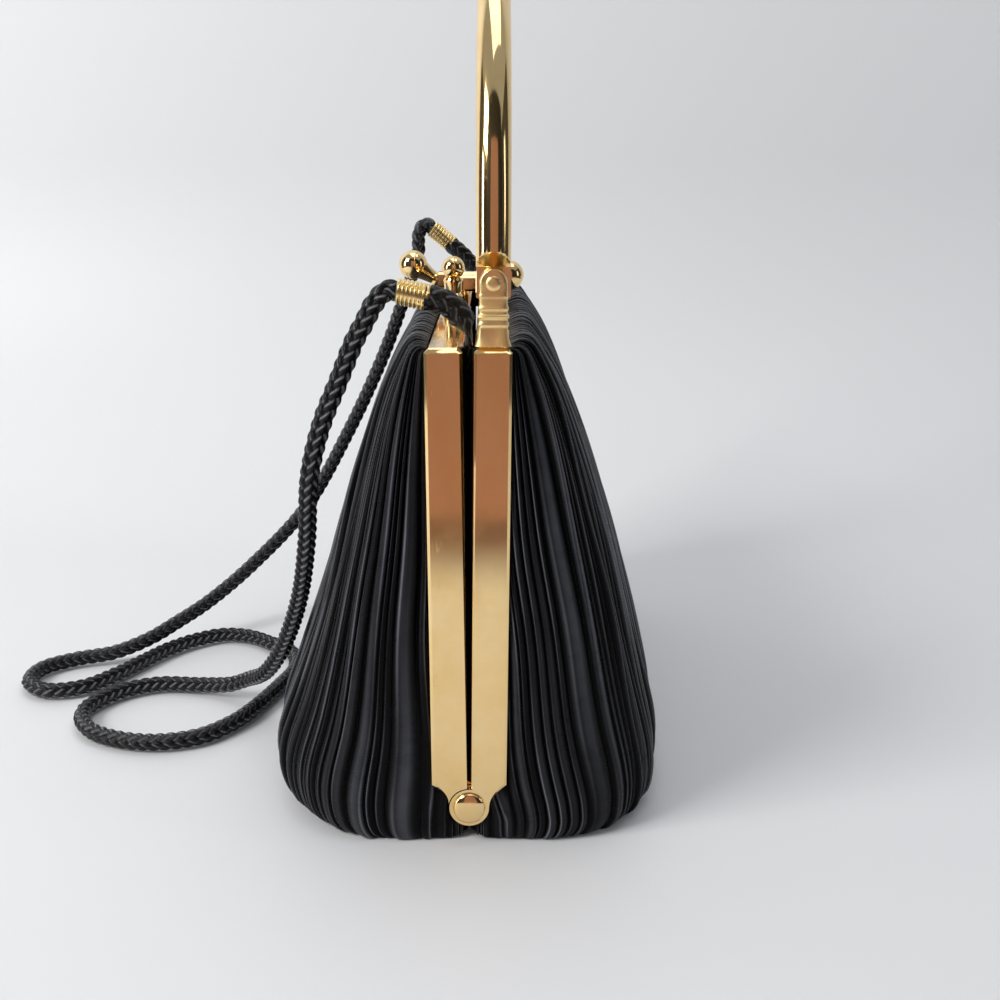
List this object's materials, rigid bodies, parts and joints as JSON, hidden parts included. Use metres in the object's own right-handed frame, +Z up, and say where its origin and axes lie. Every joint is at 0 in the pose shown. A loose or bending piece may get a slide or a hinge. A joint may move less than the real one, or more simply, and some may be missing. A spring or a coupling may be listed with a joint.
{
  "type": "evening clutch",
  "caption": "Pleated satin evening clutch on a two-part gilt frame, with a ball clasp, an arched swinging handle and a braided shoulder cord lying beside it.",
  "frame": {"origin": "on the surface the bag stands on, under the middle of the bag", "axes": "+X towards the near end of the bag, +Y towards the back that carries the handle, +Z up"},
  "size_m": [0.1828, 0.1856, 0.2106],
  "materials": {
    "gilt": "polished gilt plate",
    "gilt_wire": "polished wire binding",
    "satin": "pleated black satin with a soft sheen",
    "braid": "glossy black braid"
  },
  "bodies": {
    "bag": {"back_frame": "gilt", "front_frame": "gilt", "hinge_rivet_near": "gilt", "hinge_rivet_far": "gilt", "back_shell": "satin", "front_shell": "satin", "clasp_front": "gilt", "clasp_back": "gilt", "handle_bracket_near": "gilt", "handle_bracket_far": "gilt", "handle_rivet_near": "gilt", "handle_rivet_far": "gilt", "shoulder_cord": "braid", "cord_lead_near": "braid", "cord_lead_far": "braid", "cord_wrap_near": "gilt_wire", "cord_wrap_far": "gilt_wire"},
    "handle": {"handle": "gilt"}
  },
  "joints": [
    {"name": "handle_swing", "type": "hinge", "parent": "bag", "child": "handle", "pos_m": [0, 0.00525, 0.1282], "axis": [-1, 0, 0], "range_deg": [-90, 90]}
  ]
}
